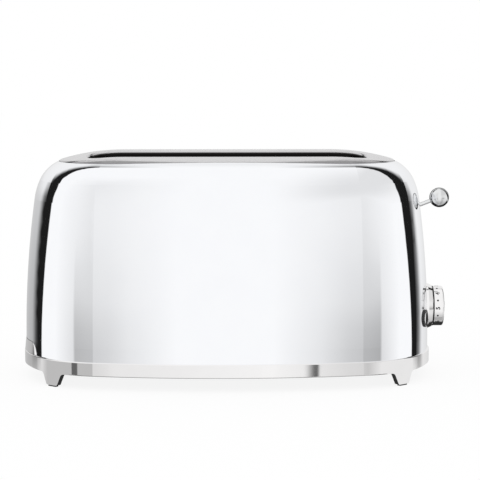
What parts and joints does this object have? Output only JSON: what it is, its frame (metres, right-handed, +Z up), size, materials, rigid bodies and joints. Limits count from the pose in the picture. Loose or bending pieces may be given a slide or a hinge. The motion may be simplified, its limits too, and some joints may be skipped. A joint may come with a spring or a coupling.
{
  "type": "four-slice toaster",
  "caption": "Oval steel-bodied toaster with two long bread slots, a ball-ended lever, a browning knob, two buttons and a pull-out crumb tray on a chromed footed base.",
  "frame": {"origin": "middle of the overall box, ball included, on the surface it stands on", "axes": "+X along the slots towards the lever end, +Y to the back, +Z up"},
  "size_m": [0.3952, 0.215, 0.2083],
  "materials": {
    "jacket": "polished stainless steel",
    "chrome": "polished",
    "surround": "satin",
    "sheet_steel": "galvanised",
    "wire_steel": "bright wire",
    "ribbon": "oxidised",
    "mica": "mica card",
    "rubber": "matt",
    "black_plastic": "moulded",
    "white_plastic": "moulded",
    "spring_steel": "drawn wire",
    "board": "lacquered laminate",
    "copper": "enamelled wire",
    "brass": "plated strip"
  },
  "bodies": {
    "root": {"base_plate": "sheet_steel", "base_screws": "spring_steel", "base_trim": "chrome", "board_posts": "brass", "bus_bars": "brass", "button_rings": "black_plastic", "button_switches": "black_plastic", "control_board": "board", "cord_cleats": "black_plastic", "cord_gland": "black_plastic", "foot_pads": "rubber", "front_button_spring": "spring_steel", "front_inner_heater_card": "mica", "front_inner_heater_ribbon": "ribbon", "front_outer_heater_card": "mica", "front_outer_heater_ribbon": "ribbon", "front_reflector": "sheet_steel", "front_runner": "sheet_steel", "guide_rod": "spring_steel", "knob_bezel": "chrome", "lever_end_plate": "sheet_steel", "magnet_coil": "copper", "magnet_core": "spring_steel", "mains_switch": "black_plastic", "outer_jacket": "jacket", "rear_button_spring": "spring_steel", "rear_inner_heater_card": "mica", "rear_inner_heater_ribbon": "ribbon", "rear_outer_heater_card": "mica", "rear_outer_heater_ribbon": "ribbon", "rear_reflector": "sheet_steel", "rear_runner": "sheet_steel", "return_springs": "spring_steel", "slot_surround": "surround", "stop_buffer": "rubber", "switch_pedestals": "black_plastic", "terminal_block": "white_plastic", "timer_pot": "spring_steel", "top_bracket": "sheet_steel", "tray_end_plate": "sheet_steel"},
    "lever": {"front_rack": "wire_steel", "rear_rack": "wire_steel", "carriage_plate": "sheet_steel", "carriage_bush": "black_plastic", "lever_rod": "chrome", "lever_ball": "chrome", "latch_keeper": "spring_steel"},
    "front_inner_guard_body": {"front_inner_guard": "wire_steel"},
    "front_outer_guard_body": {"front_outer_guard": "wire_steel"},
    "rear_outer_guard_body": {"rear_outer_guard": "wire_steel"},
    "rear_inner_guard_body": {"rear_inner_guard": "wire_steel"},
    "knob": {"browning_knob": "chrome", "knob_shaft": "spring_steel", "cancel_spring": "spring_steel"},
    "cancel": {"cancel_button": "chrome"},
    "front_push": {"front_button": "chrome"},
    "rear_push": {"rear_button": "chrome"},
    "tray": {"crumb_tray": "sheet_steel", "tray_handle": "chrome"}
  },
  "joints": [
    {"name": "lever_slide", "type": "slide", "parent": "root", "child": "lever", "axis": [0, 0, 1], "range_m": [-0.07, 0], "stiffness_N_per_m": 60, "springref_m": 0.06, "deforming": ["return_springs"]},
    {"name": "front_inner_guard_slide", "type": "slide", "parent": "root", "child": "front_inner_guard_body", "axis": [0, -1, 0], "range_m": [0, 0.007]},
    {"name": "front_outer_guard_slide", "type": "slide", "parent": "root", "child": "front_outer_guard_body", "axis": [0, 1, 0], "range_m": [0, 0.007]},
    {"name": "rear_outer_guard_slide", "type": "slide", "parent": "root", "child": "rear_outer_guard_body", "axis": [0, -1, 0], "range_m": [0, 0.007]},
    {"name": "rear_inner_guard_slide", "type": "slide", "parent": "root", "child": "rear_inner_guard_body", "axis": [0, 1, 0], "range_m": [0, 0.007]},
    {"name": "knob_turn", "type": "hinge", "parent": "root", "child": "knob", "pos_m": [0.18593, 0, 0.062], "axis": [1, 0, 0], "range_deg": [-135, 135]},
    {"name": "cancel_press", "type": "slide", "parent": "knob", "child": "cancel", "axis": [-1, 0, 0], "range_m": [0, 0.0015], "stiffness_N_per_m": 800, "springref_m": -0.001, "deforming": ["cancel_spring"]},
    {"name": "front_button_press", "type": "slide", "parent": "root", "child": "front_push", "axis": [-0.9509, 0.3096, 0], "range_m": [0, 0.0015], "stiffness_N_per_m": 800, "springref_m": -0.001, "deforming": ["front_button_spring"]},
    {"name": "rear_button_press", "type": "slide", "parent": "root", "child": "rear_push", "axis": [-0.9509, -0.3096, 0], "range_m": [0, 0.0015], "stiffness_N_per_m": 800, "springref_m": -0.001, "deforming": ["rear_button_spring"]},
    {"name": "tray_pull", "type": "slide", "parent": "root", "child": "tray", "axis": [-1, 0, 0], "range_m": [0, 0.34]}
  ],
  "couplings": [
    {"joint": "front_inner_guard_slide", "follows": "lever_slide", "ratio": -0.1},
    {"joint": "front_outer_guard_slide", "follows": "lever_slide", "ratio": -0.1},
    {"joint": "rear_outer_guard_slide", "follows": "lever_slide", "ratio": -0.1},
    {"joint": "rear_inner_guard_slide", "follows": "lever_slide", "ratio": -0.1}
  ]
}
